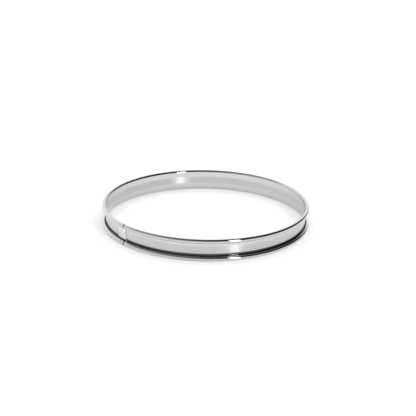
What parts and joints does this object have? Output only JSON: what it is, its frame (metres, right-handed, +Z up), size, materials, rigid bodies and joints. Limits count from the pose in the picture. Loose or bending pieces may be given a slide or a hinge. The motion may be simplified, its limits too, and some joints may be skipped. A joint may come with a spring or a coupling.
{
  "type": "tart ring",
  "caption": "Round bottomless tart ring of thin stainless sheet, with rolled beads along both edges and a lapped, spot-welded seam.",
  "frame": {"origin": "centre of the ring on the surface it stands on, under the beads of its lower edge", "axes": "+Z up along the ring's axis; the picture looks along +Y and down, with +X to its right, and the seam lies at 222 degrees, anticlockwise from +X seen from above"},
  "size_m": [0.2, 0.2, 0.0204],
  "materials": {
    "brushed_stainless": "Bright cold-rolled stainless sheet with fine rolling lines that run round the ring"
  },
  "bodies": {
    "root": {"ring": "brushed_stainless"}
  },
  "joints": []
}
